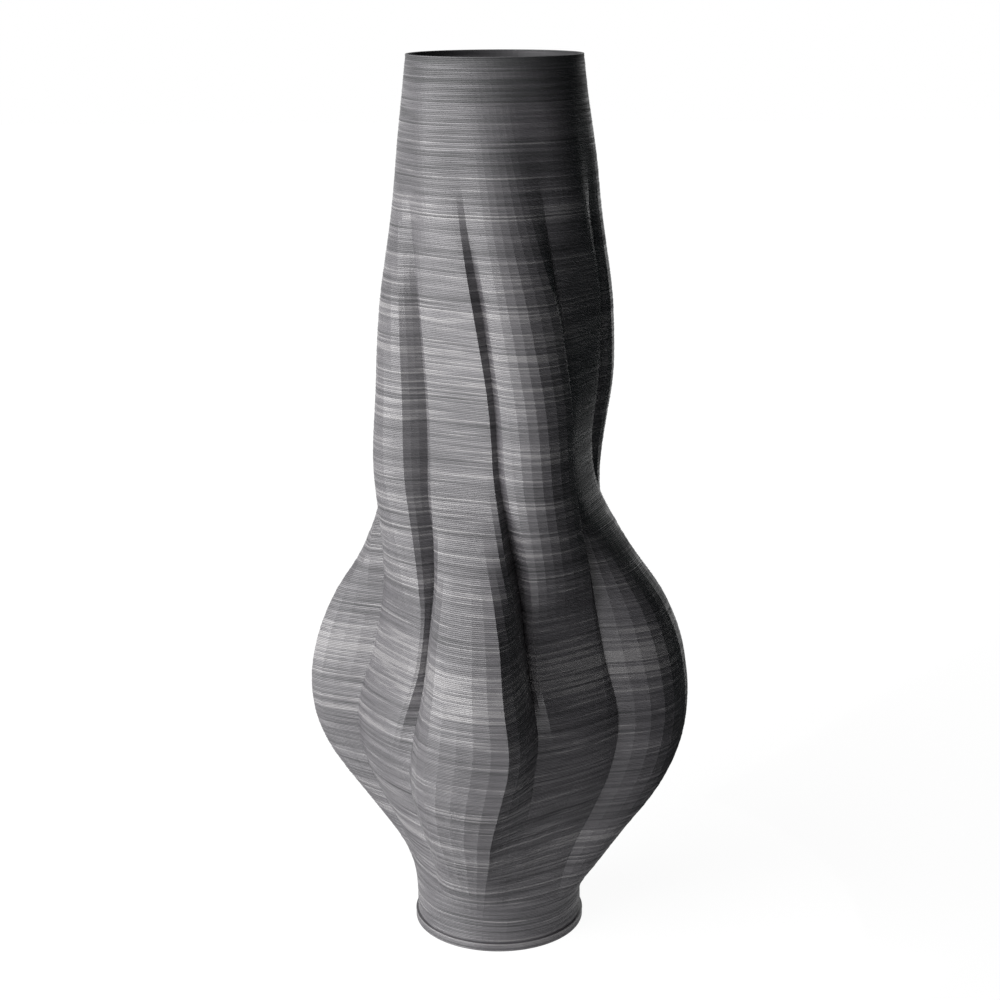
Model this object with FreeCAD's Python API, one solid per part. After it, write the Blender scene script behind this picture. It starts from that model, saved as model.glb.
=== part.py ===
import FreeCAD, Part
import math, os

# Twisted lobed vase, printed as one spiral wall on a solid printed floor.
# Millimetres and degrees. +Z is up, the front is at -Y, the floor stands on z = 0
# and the foot and the mouth are centred on x = y = 0.
#
# Every level section has eight round lobes with a sharp groove between neighbours.
# Four broad lobes alternate with four slim ones: the broad ones swell into the
# belly, the slim ones swell round the neck. Foot and mouth are round.

wall_thickness = 1.0
layer_height = 0.6
floor_layers = 5
floor_height = floor_layers * layer_height
floor_overhang = 0.8
layer_edge_bulge = 0.12

total_height = 330.0
belly_height = 94.0
neck_height = 190.0
collar_height = 245.0

foot_radius = 31.8
mouth_radius = 31.5

# Radii at the crest of a broad lobe, at the crest of a slim lobe and in the groove.
belly_broad_radius = 72.0
belly_slim_radius = 53.8
belly_groove_radius = 54.2
neck_broad_radius = 37.3
neck_slim_radius = 46.2
neck_groove_radius = 35.6
collar_broad_radius = 38.2
collar_slim_radius = 42.5
collar_groove_radius = 35.0

# Angle of one broad crest from the front towards +X.
foot_turn = -21.0
belly_turn = -10.0
neck_turn = -17.2
collar_turn = -29.5
mouth_turn = -54.0

lobe_pairs = 4
pair_angle = 360.0 / lobe_pairs

# Half the angle a broad lobe takes up, from the belly down and from the neck up.
belly_half_angle = 25.5
neck_half_angle = 21.5

# The neck strays from the axis towards -X, most at stray_height, and is back on
# the axis stray_reach above and below.
neck_stray = 2.6
stray_height = 180.0
stray_reach = 40.0

# Main sections: height, broad crest, slim crest, groove, turn.
foot = (floor_height, foot_radius, foot_radius, foot_radius, foot_turn)
belly = (
    belly_height,
    belly_broad_radius,
    belly_slim_radius,
    belly_groove_radius,
    belly_turn,
)
neck = (
    neck_height,
    neck_broad_radius,
    neck_slim_radius,
    neck_groove_radius,
    neck_turn,
)
collar = (
    collar_height,
    collar_broad_radius,
    collar_slim_radius,
    collar_groove_radius,
    collar_turn,
)
mouth = (total_height, mouth_radius, mouth_radius, mouth_radius, mouth_turn)

# Sections between two main ones. Each number is the share of the way from the
# lower section's value to the upper one's, in the same order.
foot_to_belly = [
    (0.12, 0.00, 0.00, 0.01, 0.09),
    (0.25, 0.14, 0.03, 0.07, 0.18),
    (0.41, 0.38, 0.27, 0.29, 0.36),
    (0.58, 0.66, 0.58, 0.61, 0.55),
    (0.78, 0.90, 0.90, 0.92, 0.77),
]
belly_to_neck = [
    (0.22, 0.07, 0.83, 0.34, 0.00),
    (0.41, 0.29, 1.29, 0.56, 0.11),
    (0.58, 0.59, 1.18, 0.73, 0.25),
    (0.79, 0.88, 1.13, 0.90, 0.49),
]
neck_to_collar = [
    (0.45, 0.11, 0.19, 0.00, 0.47),
]
collar_to_mouth = [
    (0.35, 0.21, 0.43, 0.40, 0.35),
    (0.65, 0.54, 0.68, 0.46, 0.63),
    (0.86, 0.79, 0.87, 0.77, 0.84),
]


def between(lower, upper, steps):
    """Sections that lie between two main ones."""
    found = []
    for shares in steps:
        values = zip(lower, upper, shares)
        found.append(tuple(low + (high - low) * share for low, high, share in values))
    return found


sections = [foot] + between(foot, belly, foot_to_belly)
sections += [belly] + between(belly, neck, belly_to_neck)
sections += [neck] + between(neck, collar, neck_to_collar)
sections += [collar] + between(collar, mouth, collar_to_mouth) + [mouth]


def half_angle(height):
    """Half the angle a broad lobe takes up at this height."""
    share = (height - belly_height) / (neck_height - belly_height)
    share = min(max(share, 0.0), 1.0)
    return belly_half_angle + share * (neck_half_angle - belly_half_angle)


def stray(height):
    """How far the section's centre lies from the axis towards -X."""
    share = min(abs(height - stray_height) / stray_reach, 1.0)
    return neck_stray * (1.0 + math.cos(math.pi * share)) / 2.0


def polar(radius, angle):
    """Point of the section plane, the angle counted from the front towards +X."""
    turn = math.radians(angle)
    return FreeCAD.Vector(radius * math.sin(turn), -radius * math.cos(turn), 0)


def lobes(section):
    """Groove, crest and groove of each lobe round a section."""
    height, broad, slim, groove, turn = section
    broad_half = half_angle(height)
    slim_half = pair_angle / 2.0 - broad_half
    found = []
    for pair in range(lobe_pairs):
        middle = turn + pair * pair_angle
        for crest, centre, half in (
            (broad, middle, broad_half),
            (slim, middle + pair_angle / 2.0, slim_half),
        ):
            start = polar(groove, centre - half)
            top = polar(crest, centre)
            end = polar(groove, centre + half)
            found.append((start, top, end))
    return found


def end_normals(lobe):
    """Outward normals of a lobe's arc at its two grooves."""
    start, top, end = lobe
    arc = Part.Arc(start, top, end)
    normals = []
    for parameter, point in ((arc.FirstParameter, start), (arc.LastParameter, end)):
        along = arc.tangent(parameter)[0]
        normal = FreeCAD.Vector(along.y, -along.x, 0)
        if normal.dot(point) < 0:
            normal = normal * -1
        normals.append(normal)
    return normals


def inset(outline, depth):
    """The lobes moved inwards, with mitred grooves."""
    normals = [end_normals(lobe) for lobe in outline]
    corners = []
    for index, (start, top, end) in enumerate(outline):
        before = normals[index - 1][1]
        after = normals[index][0]
        corners.append(start - (before + after) * (depth / (1.0 + before.dot(after))))
    moved = []
    for index, (start, top, end) in enumerate(outline):
        crest = top - FreeCAD.Vector(top).normalize() * depth
        moved.append((corners[index], crest, corners[(index + 1) % len(corners)]))
    return moved


def wire(outline, section, lift):
    """Closed wire of arcs through the lobes, at the section's place."""
    height = section[0]
    place = FreeCAD.Vector(-stray(height), 0, height + lift)
    edges = []
    for start, top, end in outline:
        edges.append(Part.Arc(start + place, top + place, end + place).toShape())
    return Part.Wire(edges)


def loft(depth, overrun):
    """Solid inside the wall's face at this depth, run past both ends."""
    wires = []
    for section in sections:
        lift = 0.0
        if section is foot:
            lift = -overrun
        if section is mouth:
            lift = overrun
        outline = lobes(section)
        if depth > 0:
            outline = inset(outline, depth)
        wires.append(wire(outline, section, lift))
    return Part.makeLoft(wires, True, False, False)


def vase_wall():
    outside = loft(0.0, 0.0)
    hollow = loft(wall_thickness, 0.01)
    return outside.cut(hollow).Solids[0]


def base_disc():
    """Printed floor: one round-edged bead for each layer."""
    floor_radius = foot_radius + floor_overhang
    edge_radius = floor_radius - layer_edge_bulge
    axis_bottom = FreeCAD.Vector(0, 0, 0)
    axis_top = FreeCAD.Vector(0, 0, floor_height)
    rim_bottom = FreeCAD.Vector(edge_radius, 0, 0)
    rim_top = FreeCAD.Vector(edge_radius, 0, floor_height)
    edges = [Part.makeLine(axis_bottom, rim_bottom)]
    for layer in range(floor_layers):
        low = layer * layer_height
        high = low + layer_height
        start = FreeCAD.Vector(edge_radius, 0, low)
        middle = FreeCAD.Vector(floor_radius, 0, (low + high) / 2.0)
        end = FreeCAD.Vector(edge_radius, 0, high)
        edges.append(Part.Arc(start, middle, end).toShape())
    edges.append(Part.makeLine(rim_top, axis_top))
    edges.append(Part.makeLine(axis_top, axis_bottom))
    profile = Part.Face(Part.Wire(edges))
    return profile.revolve(axis_bottom, FreeCAD.Vector(0, 0, 1), 360)


os.makedirs("parts", exist_ok=True)
vase_wall().exportStep("parts/vase_wall.step")
base_disc().exportStep("parts/base_disc.step")
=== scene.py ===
import math

import bpy
import numpy as np
from mathutils import Matrix, Vector


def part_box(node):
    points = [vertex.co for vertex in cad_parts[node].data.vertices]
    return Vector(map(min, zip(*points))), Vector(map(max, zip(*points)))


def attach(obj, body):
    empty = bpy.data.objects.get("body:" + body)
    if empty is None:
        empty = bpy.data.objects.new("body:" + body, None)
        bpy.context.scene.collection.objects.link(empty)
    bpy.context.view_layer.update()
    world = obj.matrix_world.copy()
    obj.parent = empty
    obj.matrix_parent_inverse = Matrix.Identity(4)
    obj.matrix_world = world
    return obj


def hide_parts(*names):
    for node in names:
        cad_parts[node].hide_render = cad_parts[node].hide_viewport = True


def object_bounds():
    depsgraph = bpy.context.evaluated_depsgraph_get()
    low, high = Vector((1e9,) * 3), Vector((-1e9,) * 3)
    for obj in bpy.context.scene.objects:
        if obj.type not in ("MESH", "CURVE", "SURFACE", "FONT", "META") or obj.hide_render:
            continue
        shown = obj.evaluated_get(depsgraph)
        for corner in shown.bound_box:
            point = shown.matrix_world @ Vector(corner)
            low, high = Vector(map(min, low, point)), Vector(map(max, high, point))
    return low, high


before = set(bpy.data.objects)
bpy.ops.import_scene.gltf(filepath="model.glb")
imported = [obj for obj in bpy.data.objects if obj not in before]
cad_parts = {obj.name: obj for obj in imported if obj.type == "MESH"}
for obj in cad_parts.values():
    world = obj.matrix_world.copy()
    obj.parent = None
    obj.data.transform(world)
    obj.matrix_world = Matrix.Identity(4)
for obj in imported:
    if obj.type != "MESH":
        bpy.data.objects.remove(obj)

cad_low, cad_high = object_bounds()

# Looks of a tall dark grey vase, printed as one spiral wall on a solid printed floor.
# Outlines are worked out in millimetres and degrees, and become metres in the meshes. The
# front is at -Y. Four broad lobes alternate with four slim ones, and the points round a level
# section start at the left groove of the front broad lobe and run towards +X.
MM = 0.001
LAYER = 0.6
WALL = 1.0
# Depth of the groove between two beads, and how far a bead's nose lies inside the outline.
BEAD_DEPTH = 0.16
NOSE_INSET = 0.05
TOTAL_HEIGHT = round(cad_high[2] / MM, 1)
FLOOR_HEIGHT = round(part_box("base_disc")[1][2] / MM, 1)
FLOOR_RADIUS = round(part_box("base_disc")[1][0] / MM, 1)
FLOOR_LAYERS = round(FLOOR_HEIGHT / LAYER)
WALL_LAYERS = round((TOTAL_HEIGHT - FLOOR_HEIGHT) / LAYER)

# Height, broad crest, slim crest, groove and turn of each level section.
STATIONS = np.array([
    (FLOOR_HEIGHT, 31.8, 31.8, 31.8, -21.0),
    (13.9, 31.8, 31.8, 32.0, -20.0),
    (25.8, 37.4, 32.5, 33.4, -19.0),
    (40.3, 47.1, 37.7, 38.3, -17.0),
    (55.8, 58.3, 44.6, 45.5, -15.0),
    (74.0, 68.0, 51.6, 52.4, -12.5),
    (94.0, 72.0, 53.8, 54.2, -10.0),
    (115.1, 69.4, 47.5, 47.8, -10.0),
    (133.4, 61.9, 44.0, 43.8, -10.8),
    (149.7, 51.4, 44.8, 40.6, -11.8),
    (169.8, 41.3, 45.2, 37.5, -13.5),
    (190.0, 37.3, 46.2, 35.6, -17.2),
    (214.8, 37.4, 45.5, 35.6, -23.0),
    (245.0, 38.2, 42.5, 35.0, -29.5),
    (274.8, 36.8, 37.8, 33.6, -38.1),
    (300.3, 34.6, 35.0, 33.4, -44.9),
    (318.1, 32.9, 32.9, 32.3, -50.1),
    (TOTAL_HEIGHT, 31.5, 31.5, 31.5, -54.0),
])
BELLY_HEIGHT = 94.0
NECK_HEIGHT = 190.0
LOBE_PAIRS = 4
PAIR_ANGLE = 360 / LOBE_PAIRS

# Half the angle a broad lobe takes up, from the belly down and from the neck up.
BELLY_HALF_ANGLE = 25.5
NECK_HALF_ANGLE = 21.5

# The neck strays from the axis towards -X, most at STRAY_HEIGHT, and is back on the axis
# STRAY_REACH above and below.
NECK_STRAY = 2.6
STRAY_HEIGHT = 180.0
STRAY_REACH = 40.0

# The wall is made of flat facets: so many across each lobe, and so high.
LOBE_FACETS = 12
FACET_HEIGHT = 4.36

# A broad lobe's facets from its left groove to its right one: the way each faces, in
# degrees from the lobe's middle, and its length. The front is flat and the right flank steep.
BELLY_BROAD = [
    (-69, 5.8), (-61, 5.8), (-47, 5.8), (-29, 5.8),
    (-15, 6.3), (-9, 6.3), (-2, 6.3), (6, 6.3),
    (54, 5.4), (72, 5.4), (78, 5.4), (80, 5.4),
]
# Below the belly the right flank leans less, and the groove beside it fades.
FOOT_BROAD = [
    (-64, 5.8), (-56, 5.8), (-44, 5.8), (-29, 5.8),
    (-15, 6.3), (-9, 6.3), (-2, 6.3), (8, 6.3),
    (56, 5.0), (62, 5.0), (66, 5.0), (68, 5.0),
]
# At the neck a broad lobe is one flat face with a narrow right flank.
NECK_BROAD = [
    (-40, 1.5), (-20, 2.2), (-12, 2.4), (-9, 2.4),
    (-8, 2.4), (-8, 2.4), (-7, 2.4), (-7, 2.4),
    (-6, 2.4), (-5, 2.4), (-1, 2.2), (74, 4.4),
]
# A slim lobe is full, with a long steep right flank.
SLIM = [
    (-80, 3.4), (-66, 3.5), (-51, 3.5), (-37, 3.5),
    (-23, 3.5), (-9, 3.5), (9, 4.4), (21, 4.4),
    (33, 4.4), (68, 2.8), (75, 2.8), (80, 2.8),
]

# Crests that stand further out or in than the others of their kind, the pairs counted from
# the front towards +X: heights, and how far the crest moves outwards at each.
CREST_CHANGES = {
    (1, "broad"): ((14, 28, 60, 84, 104), (0, 2.2, 2.4, 1.3, 0)),
    (1, "slim"): ((200, 240, 290, 315), (0, 1.1, 1.1, 0)),
    (3, "broad"): ((14, 28, 52, 84, 104, 150, 170), (0, -1.7, -3.2, -1.7, -1.1, -1.2, 0)),
}
# Grooves either side of the front lobe that are fuller or deeper than the others: first
# point round the section, how far it and its followers move outwards, heights and shares.
GROOVE_CHANGES = [
    (9, (0.4, 1.4, 2.6, 4.0, 3.2, 2.4, 1.6, 0.9, 0.4), (20, 45, 64, 84), (0, 1, 1, 0)),
    (11, (-1.2, -3.0, -1.8), (92, 112, 160, 182), (0, 1, 1, 0)),
    (-2, (-0.6, -2.0, -3.0, -0.8), (78, 98, 150, 178), (0, 1, 1, 0)),
]
# Towards the mouth the grooves grow round: heights where that starts and is complete.
ROUND_GROOVES = (244, 288)
ROUNDING_PASSES = 5

# Heights where the lobes turn from round to faceted, and from faceted back to round.
BROAD_FACETED = (14, 44, 256, 306)
SLIM_FACETED = (84, 114, 240, 300)
# Heights where a broad lobe goes over from its foot facets to its belly ones, and from those
# to its neck ones.
FOOT_TO_BELLY = (52, 86)
BELLY_TO_NECK = (132, 172)

# Beads of the wall. They wander in and out and up and down along their length, and as a whole.
SEED = 7
WANDER_WAVES = 9
WANDER_ALONG = 0.022
WANDER_WHOLE = 0.022
WANDER_LIMITS = (-0.09, 0.05)
LIFT_WAVES = 14
LIFT_ALONG = 0.05
LIFT_WHOLE = 0.04
LIFT_LIMITS = (-0.14, 0.14)
# The rim's round top: depth from the bead's nose, and how far below the top.
RIM = ((0.10, 0.12), (0.24, 0.02), (0.50, 0.0), (0.76, 0.02), (0.90, 0.12))
# Inside, the beads are modelled in the top layers only, where they can be seen, and shallower.
# Below, the wall is plain, with a row of faces every few layers.
INSIDE_LAYERS = 220
INSIDE_BEAD_SHARE = 0.8
PLAIN_LAYERS = 4

# Floor: its rounded lower edge, as depth inside its radius and height, the round edge of each
# bead, the lip of the top one, and the rings of bead across its top.
LOWER_EDGE = ((0.3, 0.0), (0.14, 0.02))
EDGE_BULGE = 0.12
EDGE_SHARES = (0.12, 0.3, 0.5, 0.7, 0.88)
EDGE_GROOVE = 0.16
EDGE_LIP = 0.06
RING = 1.2
RING_START = 0.5
RING_SHAPE = ((0.0, 0.08), (0.2, 0.02), (0.5, 0.0), (0.8, 0.02))
CENTRE_DROP = 0.02
FLOOR_SEGMENTS = 180
# The lip's faces, which carry the painted highlight, are those in the top share of a layer and this
# near the floor's edge.
LIP_LAYERS = 0.9
LIP_DEPTH = 0.3

# Plastic. Lightness up the vase, by share of the height, in light and dark bands and darkest at the
# top.
BANDS = [
    (0.00, 0.55), (0.06, 0.62), (0.11, 0.64), (0.17, 0.60), (0.25, 0.64), (0.305, 0.54),
    (0.328, 0.80), (0.348, 1.00), (0.368, 0.80), (0.395, 0.46), (0.46, 0.64), (0.52, 0.60),
    (0.60, 0.70), (0.66, 0.68), (0.70, 0.86), (0.735, 0.62), (0.78, 0.68), (0.81, 0.46),
    (0.845, 0.70), (0.865, 0.54), (0.89, 0.36), (0.93, 0.40), (1.00, 0.12),
]
# Noise in the tone: how fine it is along x, along y and from bead to bead or, for patches,
# along z, and its detail.
LONG_STREAKS = ((12.0, 12.0, 0.83), 1.0)
SHORT_STREAKS = ((48.0, 48.0, 3.37), 2.0)
PATCHES = ((22.0, 22.0, 130.0), 2.0)
# How much each part of the tone counts, and the sums that are darkest and lightest.
LONG_SHARE = 0.55
SHORT_SHARE = 0.50
PATCH_SHARE = 0.40
BEAD_SHARE = 0.22
BAND_SHARE = 0.56
TONE_RANGE = (0.86, 1.36)
# Colours of the plastic from its darkest tone to its lightest. The light tones are smoother.
TONES = [
    (0.00, (0.026, 0.026, 0.028)),
    (0.45, (0.0725, 0.0695, 0.0755)),
    (0.80, (0.116, 0.111, 0.119)),
    (1.00, (0.201, 0.194, 0.199)),
]
ROUGHNESS_RANGE = (0.56, 0.22)
SPECULAR_LEVEL = 0.6
# The lip of the floor's top bead gets a raised tone, a painted highlight where it catches the light.
LIP_PAINTED_HIGHLIGHT = 0.30

# Studio, in metres. Its floor glows for the camera, and half as much in reflections. The glow
# grows with the distance, so that the far floor is as white as the world.
STUDIO_SIZE = 8
STUDIO_GREY = 0.8
GLOW_DISTANCES = (0.25, 1.2)
GLOW_STRENGTHS = (1.12, 1.20)
GLOW_SHARE = 0.85
GLOW_IN_REFLECTIONS = 0.5
WORLD_FILL = 0.03
FLAG_INNER_RADIUS = 0.14
FLAG_INNER_HEIGHT = 0.002
FLAG_SEGMENTS = 17
FLAG_COLOR = (0.008, 0.013, 0.013)

# Camera: place in metres, how far it looks down in degrees, roll in radians, and lens.
CAMERA_PLACE = (0.0011, -0.686, 0.3585)
CAMERA_DOWN = 15.5
CAMERA_ROLL = -0.0050
CAMERA_LENS = 69.05
CAMERA_SENSOR = 36.0


def smooth(heights):
    """Station values at any heights, on a smooth curve through the stations."""
    z = STATIONS[:, 0]
    v = STATIONS[:, 1:]
    step = np.diff(z)[:, None]
    slope = np.diff(v, axis=0) / step
    tangent = np.empty_like(v)
    tangent[1:-1] = (slope[:-1] * step[1:] + slope[1:] * step[:-1]) / (step[1:] + step[:-1])
    tangent[0] = slope[0]
    tangent[-1] = slope[-1]
    i = np.clip(np.searchsorted(z, heights, side="right") - 1, 0, len(z) - 2)
    h = step[i]
    t = ((heights - z[i]) / h[:, 0])[:, None]
    return (
        v[i] * (2 * t**3 - 3 * t**2 + 1)
        + tangent[i] * h * (t**3 - 2 * t**2 + t)
        + v[i + 1] * (3 * t**2 - 2 * t**3)
        + tangent[i + 1] * h * (t**3 - t**2)
    )


def ramp(heights, none, full):
    """Share that runs from 0 at one height to 1 at the other."""
    return np.clip((heights - none) / (full - none), 0, 1)


def faceted_share(heights, round_below, faceted_from, faceted_to, round_above):
    """How far a lobe is faceted rather than round, from 0 to 1."""
    return ramp(heights, round_below, faceted_from) * ramp(heights, round_above, faceted_to)


def profile(facets):
    """Points along a lobe, as shares of its half width and of its height."""
    facing, length = np.array(facets, float).T
    facing = np.radians(facing)
    across = np.concatenate([[0], np.cumsum(length * np.cos(facing))])
    height = np.concatenate([[0], np.cumsum(-length * np.sin(facing))])
    height -= height[-1] * across / across[-1]
    return across / across[-1] * 2 - 1, height / height.max()


def broad_profile(heights):
    """Profile of a broad lobe at any heights, between its foot, belly and neck profiles."""
    raised = ramp(heights, *FOOT_TO_BELLY)[:, None]
    upper = ramp(heights, *BELLY_TO_NECK)[:, None]
    foot, belly, neck = map(profile, (FOOT_BROAD, BELLY_BROAD, NECK_BROAD))
    return [
        low * (1 - raised) + middle * (raised - upper) + high * upper
        for low, middle, high in zip(foot, belly, neck)
    ]


def slim_profile(heights):
    """Profile of a slim lobe, the same at all heights."""
    return [np.broadcast_to(value, (len(heights), LOBE_FACETS + 1)) for value in profile(SLIM)]


def lobe(crest, groove, half_angle, facing, shape, faceting):
    """Points along one lobe at every height, from its left groove almost to its right one.

    They lie on an arc through both grooves and the crest where faceting is 0, and on the
    lobe's own profile, with its furthest point as far out as the crest, where it is 1.
    """
    along, high = shape
    across = groove * np.sin(half_angle)
    inward = groove * np.cos(half_angle)
    centre = (crest**2 - groove**2) / (2 * (crest - inward))
    radius = crest - centre
    spread = np.arctan2(across, inward - centre)
    rise = (crest - inward)[:, None] * high
    reach = np.hypot(inward[:, None] + rise, across[:, None] * along).max(1)
    peak = crest - (reach - np.maximum(crest, groove))
    sine = np.sin(facing)
    cosine = np.cos(facing)
    columns = []
    for facet in range(LOBE_FACETS):
        turn = spread * (2 * facet / LOBE_FACETS - 1)
        out = centre + radius * np.cos(turn)
        side = radius * np.sin(turn)
        out = out + faceting * (inward + (peak - inward) * high[:, facet] - out)
        side = side + faceting * (across * along[:, facet] - side)
        columns.append(np.stack([out * sine + side * cosine, -out * cosine + side * sine], -1))
    return columns


def outline(heights):
    """Points round each level section, columns in step from row to row."""
    broad, slim, groove, turn = smooth(heights).T
    share = ramp(heights, BELLY_HEIGHT, NECK_HEIGHT)
    half_angle = BELLY_HALF_ANGLE + (NECK_HALF_ANGLE - BELLY_HALF_ANGLE) * share
    broad_half = np.radians(half_angle)
    slim_half = np.radians(PAIR_ANGLE / 2) - broad_half
    broad_faceted = faceted_share(heights, *BROAD_FACETED)
    slim_faceted = faceted_share(heights, *SLIM_FACETED)
    kinds = (
        ("broad", 0, broad, broad_half, broad_profile(heights), broad_faceted),
        ("slim", PAIR_ANGLE / 2, slim, slim_half, slim_profile(heights), slim_faceted),
    )
    columns = []
    for pair in range(LOBE_PAIRS):
        for kind, aside, crest, half, shape, faceting in kinds:
            places, amounts = CREST_CHANGES.get((pair, kind), ((0,), (0,)))
            moved = crest + np.interp(heights, places, amounts)
            facing = np.radians(turn + PAIR_ANGLE * pair + aside)
            columns += lobe(moved, groove, half, facing, shape, faceting)
    points = np.stack(columns, 1)

    for first, amounts, places, shares in GROOVE_CHANGES:
        share = np.interp(heights, places, shares)
        for column, amount in enumerate(amounts, first):
            length = np.linalg.norm(points[:, column], axis=-1)
            points[:, column] *= (1 + share * amount / length)[:, None]

    rounded = points
    for _ in range(ROUNDING_PASSES):
        rounded = (np.roll(rounded, 1, 1) + 2 * rounded + np.roll(rounded, -1, 1)) / 4
    points = points + ramp(heights, *ROUND_GROOVES)[:, None, None] * (rounded - points)

    away = np.clip(np.abs(heights - STRAY_HEIGHT) / STRAY_REACH, 0, 1)
    points[:, :, 0] -= (NECK_STRAY / 2 * (1 + np.cos(np.pi * away)))[:, None]
    return points


def outward(rings):
    """Outward mitre direction at each point of each ring."""
    edge = np.roll(rings, -1, 1) - rings
    normal = np.stack([edge[..., 1], -edge[..., 0]], -1)
    normal /= np.linalg.norm(normal, axis=-1, keepdims=True)
    before = np.roll(normal, 1, 1)
    return (before + normal) / (1 + (before * normal).sum(-1, keepdims=True))


def faceted(heights):
    """The outline of a mesh of flat facets, at any heights."""
    count = round((TOTAL_HEIGHT - FLOOR_HEIGHT) / FACET_HEIGHT)
    corners = outline(np.linspace(FLOOR_HEIGHT, TOTAL_HEIGHT, count + 1))
    place = (heights - FLOOR_HEIGHT) / (TOTAL_HEIGHT - FLOOR_HEIGHT) * count
    place = np.clip(place, 0, count - 1e-6)
    i = place.astype(int)
    t = (place - i)[:, None, None]
    return corners[i] * (1 - t) + corners[i + 1] * t


def bands_between(index):
    """Quads between each row of point numbers and the next, the rows being closed rings."""
    low = index[:-1]
    high = index[1:]
    quads = np.stack([low, np.roll(low, -1, 1), np.roll(high, -1, 1), high], -1)
    return quads.reshape(-1, 4)


def link_object(name, mesh):
    made = bpy.data.objects.new(name, mesh)
    bpy.context.collection.objects.link(made)
    return made


def mesh_from(name, points, faces):
    """Object with a mesh of quads."""
    mesh = bpy.data.meshes.new(name)
    mesh.vertices.add(len(points))
    mesh.vertices.foreach_set("co", points.ravel())
    mesh.loops.add(faces.size)
    mesh.loops.foreach_set("vertex_index", faces.ravel().astype(np.int32))
    mesh.polygons.add(len(faces))
    starts = np.arange(0, faces.size, faces.shape[1], dtype=np.int32)
    mesh.polygons.foreach_set("loop_start", starts)
    mesh.update(calc_edges=True)
    mesh.validate()
    return link_object(name, mesh)


def waves(rng, count, columns):
    """Smooth random change round each layer, about one in size."""
    angle = np.arange(columns) / columns * 2 * math.pi
    total = np.zeros((WALL_LAYERS, columns))
    for k in range(1, count + 1):
        a = rng.normal(0, 1, (WALL_LAYERS, 1))
        b = rng.normal(0, 1, (WALL_LAYERS, 1))
        total += (a * np.cos(k * angle) + b * np.sin(k * angle)) / count**0.5
    return total


def wall_rows():
    """Rings of the wall and their levels, up the outside, over the rim and down the inside."""
    rng = np.random.default_rng(SEED)
    middles = FLOOR_HEIGHT + LAYER * (np.arange(WALL_LAYERS) + 0.5)
    nose = faceted(middles)
    columns = nose.shape[1]
    wander = waves(rng, WANDER_WAVES, columns) * WANDER_ALONG
    wander = np.clip(wander + rng.normal(0, WANDER_WHOLE, (WALL_LAYERS, 1)), *WANDER_LIMITS)
    lift = waves(rng, LIFT_WAVES, columns) * LIFT_ALONG
    lift = np.clip(lift + rng.normal(0, LIFT_WHOLE, (WALL_LAYERS, 1)), *LIFT_LIMITS)
    out = outward(nose)
    step = np.abs((np.diff(nose, axis=0) * out[1:]).sum(-1))
    nose_out = nose + out * (wander - NOSE_INSET)[..., None]
    groove = (nose_out[1:] + nose_out[:-1]) / 2 - out[1:] * (BEAD_DEPTH + step / 2)[..., None]

    # Foot edge, then nose and groove by turns.
    rows = [nose_out[0] - out[0] * BEAD_DEPTH]
    levels = [np.full(columns, FLOOR_HEIGHT)]
    for k in range(WALL_LAYERS):
        rows.append(nose_out[k])
        levels.append(middles[k] + lift[k])
        if k < WALL_LAYERS - 1:
            rows.append(groove[k])
            levels.append(np.full(columns, middles[k] + LAYER / 2))
    for depth, drop in RIM:
        rows.append(nose[-1] - out[-1] * depth)
        levels.append(np.full(columns, TOTAL_HEIGHT - drop))

    inside = WALL - NOSE_INSET
    for k in range(WALL_LAYERS - 1, -1, -1):
        seen = k > WALL_LAYERS - INSIDE_LAYERS
        if seen or k % PLAIN_LAYERS == 0:
            rows.append(nose[k] - out[k] * inside)
            levels.append(np.full(columns, middles[k]))
        if seen:
            between = (nose[k] + nose[k - 1]) / 2
            depth = inside - BEAD_DEPTH * INSIDE_BEAD_SHARE - step[k - 1] / 2
            rows.append(between - out[k] * depth[..., None])
            levels.append(np.full(columns, middles[k] - LAYER / 2))
    rows.append(nose[0] - out[0] * inside)
    levels.append(np.full(columns, FLOOR_HEIGHT))
    return np.array(rows), np.array(levels)


def crease(mesh, columns):
    """Sharpen each facet edge that runs up the wall, and each groove between beads."""
    ends = np.empty(len(mesh.edges) * 2, np.int32)
    mesh.edges.foreach_get("vertices", ends)
    row_a, row_b = ends.reshape(-1, 2).T // columns
    upright = row_a != row_b
    is_groove = (row_a < 2 * WALL_LAYERS) & (row_a % 2 == 0)
    attribute = mesh.attributes.new("sharp_edge", "BOOLEAN", "EDGE")
    attribute.data.foreach_set("value", upright | is_groove)
    mesh.polygons.foreach_set("use_smooth", np.ones(len(mesh.polygons), bool))
    mesh.update()


def printed_wall():
    rows, levels = wall_rows()
    points = np.concatenate([rows, levels[..., None]], -1) * MM
    index = np.arange(levels.size).reshape(levels.shape)
    faces = bands_between(np.concatenate([index, index[:1]]))
    piece = mesh_from("printed_wall", points.reshape(-1, 3), faces)
    crease(piece.data, levels.shape[1])
    return piece


def floor_profile():
    """Half section of the floor from its underside to its top: radius and height."""
    points = [(0.0, 0.0)]
    for depth, height in LOWER_EDGE:
        points.append((FLOOR_RADIUS - depth, height))
    for bead in range(FLOOR_LAYERS):
        lip = EDGE_LIP if bead == FLOOR_LAYERS - 1 else 0.0
        for share in EDGE_SHARES:
            bulge = EDGE_BULGE * math.sin(math.pi * share) ** 0.5
            radius = FLOOR_RADIUS - EDGE_BULGE + bulge + lip
            points.append((radius, LAYER * (bead + share)))
        points.append((FLOOR_RADIUS - EDGE_GROOVE, LAYER * (bead + 1)))
    ring = FLOOR_RADIUS - RING_START
    while ring > RING:
        for share, drop in RING_SHAPE:
            points.append((ring - RING * share, FLOOR_HEIGHT - drop))
        ring -= RING
    points.append((0.0, FLOOR_HEIGHT - CENTRE_DROP))
    return np.array(points)


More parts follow.
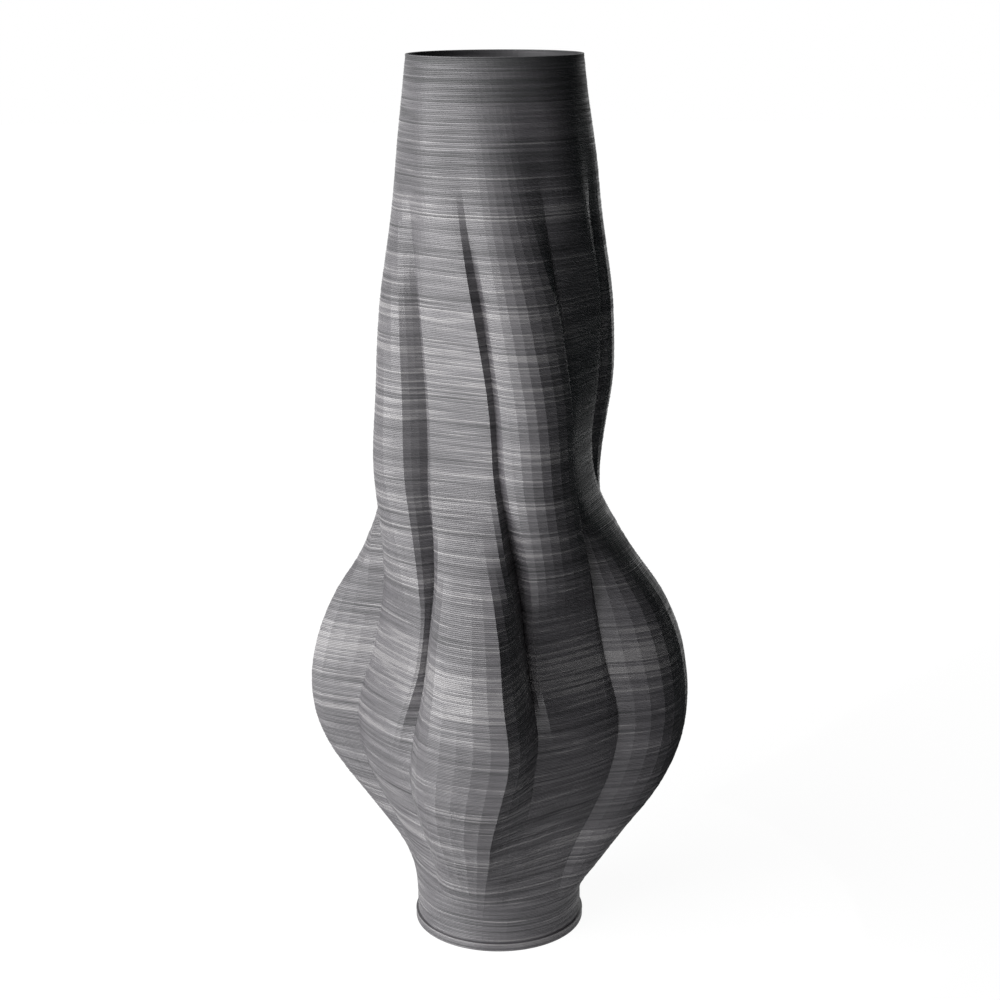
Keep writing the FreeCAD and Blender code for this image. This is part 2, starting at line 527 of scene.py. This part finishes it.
def turned(name, half_section, segments):
    """Closed solid of revolution from its half section, which starts and ends on the axis."""
    turns = np.linspace(0, 2 * math.pi, segments, endpoint=False)
    ring = np.stack([np.sin(turns), -np.cos(turns)], -1)
    body = half_section[1:-1]
    points = np.empty((len(body), segments, 3))
    points[..., :2] = body[:, :1, None] * ring
    points[..., 2] = body[:, 1:]
    poles = np.array([(0, 0, half_section[0][1]), (0, 0, half_section[-1][1])])
    index = np.arange(len(body) * segments).reshape(len(body), segments)
    sides = bands_between(index)
    pole = np.full(segments, index.size)
    bottom = np.stack([pole, np.roll(index[0], -1), index[0]], -1)
    top = np.stack([pole + 1, index[-1], np.roll(index[-1], -1)], -1)
    mesh = bpy.data.meshes.new(name)
    everything = np.concatenate([points.reshape(-1, 3), poles]) * MM
    mesh.from_pydata(everything.tolist(), [], sides.tolist() + bottom.tolist() + top.tolist())
    mesh.shade_smooth()
    return link_object(name, mesh)


def is_lip(face):
    """Whether a face of the floor is on the outer edge of its top bead, where the highlight is
    painted.
    """
    middle = face.center
    above = (FLOOR_LAYERS - LIP_LAYERS) * LAYER * MM
    outside = (FLOOR_RADIUS - LIP_DEPTH) * MM
    return middle.z > above and math.hypot(middle.x, middle.y) > outside


def nodes_of(owner, output="ShaderNodeOutputMaterial"):
    """Emptied node tree of a material or world, and the surface input of its new output."""
    owner.use_nodes = True
    tree = owner.node_tree
    tree.nodes.clear()
    return tree, tree.nodes.new(output).inputs["Surface"]


def math_node(tree, operation, *values):
    node = tree.nodes.new("ShaderNodeMath")
    node.operation = operation
    for socket, value in zip(node.inputs, values):
        if isinstance(value, (int, float)):
            socket.default_value = value
        else:
            tree.links.new(value, socket)
    return node.outputs[0]


def map_range(tree, value, start, end):
    """Value taken from the range start to the range end, and no further than its ends."""
    node = tree.nodes.new("ShaderNodeMapRange")
    node.inputs["From Min"].default_value, node.inputs["From Max"].default_value = start
    node.inputs["To Min"].default_value, node.inputs["To Max"].default_value = end
    tree.links.new(value, node.inputs["Value"])
    return node.outputs[0]


def color_ramp(tree, value, stops, interpolation):
    """Colour that runs through the stops, each a place from 0 to 1 and its colour."""
    node = tree.nodes.new("ShaderNodeValToRGB")
    node.color_ramp.interpolation = interpolation
    elements = node.color_ramp.elements
    for stop in stops[1:-1]:
        elements.new(stop[0])
    for element, (place, color) in zip(elements, stops):
        element.position = place
        element.color = (*color, 1)
    tree.links.new(value, node.inputs[0])
    return node.outputs[0]


def noise(tree, place, scales, detail):
    """Noise at a place whose three values are each scaled first."""
    where = tree.nodes.new("ShaderNodeCombineXYZ")
    for socket, value, scale in zip(where.inputs, place, scales):
        tree.links.new(math_node(tree, "MULTIPLY", value, scale), socket)
    node = tree.nodes.new("ShaderNodeTexNoise")
    node.inputs["Scale"].default_value = 1.0
    node.inputs["Detail"].default_value = detail
    tree.links.new(where.outputs[0], node.inputs["Vector"])
    return node.outputs[0]


def plastic(name, painted_highlight):
    """Satin printed plastic, streaked bead by bead; the second argument lifts its tone for a painted
    highlight.
    """
    material = bpy.data.materials.new(name)
    tree, surface = nodes_of(material)
    shader = tree.nodes.new("ShaderNodeBsdfPrincipled")
    tree.links.new(shader.outputs[0], surface)
    where = tree.nodes.new("ShaderNodeTexCoord")
    apart = tree.nodes.new("ShaderNodeSeparateXYZ")
    tree.links.new(where.outputs["Object"], apart.inputs[0])
    x, y, z = apart.outputs

    # Each bead has a number, so that its tone stops where the bead stops.
    bead = math_node(tree, "FLOOR", math_node(tree, "DIVIDE", z, LAYER * MM))
    single = tree.nodes.new("ShaderNodeTexWhiteNoise")
    single.noise_dimensions = "1D"
    tree.links.new(bead, single.inputs["W"])
    height = math_node(tree, "DIVIDE", z, TOTAL_HEIGHT * MM)
    greys = [(place, (light, light, light)) for place, light in BANDS]

    tone = math_node(tree, "MULTIPLY", noise(tree, (x, y, bead), *LONG_STREAKS), LONG_SHARE)
    for value, share in (
        (noise(tree, (x, y, bead), *SHORT_STREAKS), SHORT_SHARE),
        (noise(tree, (x, y, z), *PATCHES), PATCH_SHARE),
        (single.outputs["Value"], BEAD_SHARE),
        (color_ramp(tree, height, greys, "B_SPLINE"), BAND_SHARE),
    ):
        tone = math_node(tree, "MULTIPLY_ADD", value, share, tone)
    # Lift of the tone for a painted highlight, 0 where none is painted.
    tone = math_node(tree, "ADD", tone, painted_highlight)
    tone = map_range(tree, tone, TONE_RANGE, (0, 1))

    tree.links.new(color_ramp(tree, tone, TONES, "LINEAR"), shader.inputs["Base Color"])
    roughness = map_range(tree, tone, (0, 1), ROUGHNESS_RANGE)
    tree.links.new(roughness, shader.inputs["Roughness"])
    shader.inputs["Specular IOR Level"].default_value = SPECULAR_LEVEL
    return material


grey = plastic("printed_plastic", 0.0)
wall = printed_wall()
wall.data.materials.append(grey)
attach(wall, "root")
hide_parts("vase_wall")

disc = turned("printed_floor", floor_profile(), FLOOR_SEGMENTS)
disc.data.materials.append(grey)
# The lip of the floor's top bead gets its own material, with a painted highlight.
disc.data.materials.append(plastic("bead_lip_painted_highlight", LIP_PAINTED_HIGHLIGHT))
for face in disc.data.polygons:
    face.material_index = int(is_lip(face))
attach(disc, "root")
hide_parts("base_disc")


def diffuse_shader(tree, color):
    node = tree.nodes.new("ShaderNodeBsdfDiffuse")
    node.inputs["Color"].default_value = (*color, 1)
    return node.outputs[0]


def studio_floor():
    bpy.ops.mesh.primitive_plane_add(size=STUDIO_SIZE, location=(0, 0, 0))
    plane = bpy.context.object
    plane.name = "studio_floor"
    material = bpy.data.materials.new("studio_floor")
    plane.data.materials.append(material)
    tree, surface = nodes_of(material)
    where = tree.nodes.new("ShaderNodeTexCoord")
    reach = tree.nodes.new("ShaderNodeVectorMath")
    reach.operation = "LENGTH"
    tree.links.new(where.outputs["Object"], reach.inputs[0])
    glow = tree.nodes.new("ShaderNodeEmission")
    strength = map_range(tree, reach.outputs["Value"], GLOW_DISTANCES, GLOW_STRENGTHS)
    tree.links.new(strength, glow.inputs["Strength"])
    path = tree.nodes.new("ShaderNodeLightPath")
    mirror = math_node(tree, "MULTIPLY", path.outputs["Is Glossy Ray"], GLOW_IN_REFLECTIONS)
    seen = math_node(tree, "MAXIMUM", path.outputs["Is Camera Ray"], mirror)
    mix = tree.nodes.new("ShaderNodeMixShader")
    tree.links.new(math_node(tree, "MULTIPLY", seen, GLOW_SHARE), mix.inputs[0])
    tree.links.new(diffuse_shader(tree, (STUDIO_GREY, STUDIO_GREY, STUDIO_GREY)), mix.inputs[1])
    tree.links.new(glow.outputs[0], mix.inputs[2])
    tree.links.new(mix.outputs[0], surface)
    return plane


def studio_world():
    """White to the camera, in reflections and through glass, a dim fill for all else."""
    world = bpy.data.worlds.new("studio")
    tree, surface = nodes_of(world, "ShaderNodeOutputWorld")
    background = tree.nodes.new("ShaderNodeBackground")
    background.inputs["Color"].default_value = (1, 1, 1, 1)
    path = tree.nodes.new("ShaderNodeLightPath").outputs
    seen = math_node(tree, "MAXIMUM", path["Is Camera Ray"], path["Is Glossy Ray"])
    seen = math_node(tree, "MAXIMUM", seen, path["Is Transmission Ray"])
    strength = math_node(tree, "MAXIMUM", seen, WORLD_FILL)
    tree.links.new(strength, background.inputs["Strength"])
    tree.links.new(background.outputs[0], surface)
    return world


def softbox(name, azimuth, elevation, distance, width, height, power, aim=TOTAL_HEIGHT * MM / 2):
    """Area lamp facing a point on the vase's axis; azimuth 0 is in front, 90 to the right."""
    light = bpy.data.lights.new(name, "AREA")
    light.shape = "RECTANGLE"
    light.size = width
    light.size_y = height
    light.energy = power
    lamp = link_object(name, light)
    a, e = math.radians(azimuth), math.radians(elevation)
    away = Vector((math.sin(a) * math.cos(e), -math.cos(a) * math.cos(e), math.sin(e)))
    lamp.location = Vector((0, 0, aim)) + away * distance
    lamp.rotation_mode = "QUATERNION"
    lamp.rotation_quaternion = away.to_track_quat("Z", "Y")
    return lamp


def studio_flag(start, end, radius, low, high):
    """Black card round the object's right, seen by reflections but not by the camera.

    It runs outwards just above the floor and then stands up.
    """
    turns = np.radians(np.linspace(start, end, FLAG_SEGMENTS))
    points = []
    for r, z in ((FLAG_INNER_RADIUS, FLAG_INNER_HEIGHT), (radius, low), (radius, high)):
        for turn in turns:
            points.append((r * math.sin(turn), -r * math.cos(turn), z))
    index = np.arange(len(points)).reshape(3, FLAG_SEGMENTS)
    quads = np.stack([index[:-1, :-1], index[:-1, 1:], index[1:, 1:], index[1:, :-1]], -1)
    cloth = mesh_from("studio_flag", np.array(points), quads.reshape(-1, 4))
    black = bpy.data.materials.new("studio_flag")
    tree, surface = nodes_of(black)
    tree.links.new(diffuse_shader(tree, FLAG_COLOR), surface)
    cloth.data.materials.append(black)
    cloth.visible_camera = False
    cloth.visible_shadow = False
    return cloth


floor = studio_floor()
bpy.context.scene.world = studio_world()
softbox("key", azimuth=-68, elevation=19, distance=1.3, width=1.6, height=1.5, power=36)
softbox("front", azimuth=-31, elevation=24, distance=1.4, width=0.9, height=1.2, power=5.2)
softbox("top", azimuth=-40, elevation=75, distance=1.2, width=1.0, height=1.0, power=1.0)
bounce = softbox(
    "bounce", azimuth=48, elevation=-16, distance=0.17, width=0.12, height=0.02, power=0.03, aim=0.06
)
bounce.visible_camera = False
bounce.visible_glossy = False
card = studio_flag(start=26, end=140, radius=0.7, low=0.02, high=1.4)

camera_data = bpy.data.cameras.new("camera")
camera_data.sensor_width = CAMERA_SENSOR
camera_data.lens = CAMERA_LENS
camera = link_object("camera", camera_data)
aim = Matrix.Rotation(math.radians(90 - CAMERA_DOWN), 4, "X")
roll = Matrix.Rotation(CAMERA_ROLL, 4, "Z")
camera.matrix_world = Matrix.Translation(CAMERA_PLACE) @ aim @ roll
bpy.context.scene.camera = camera
bpy.context.scene.view_settings.view_transform = "Standard"
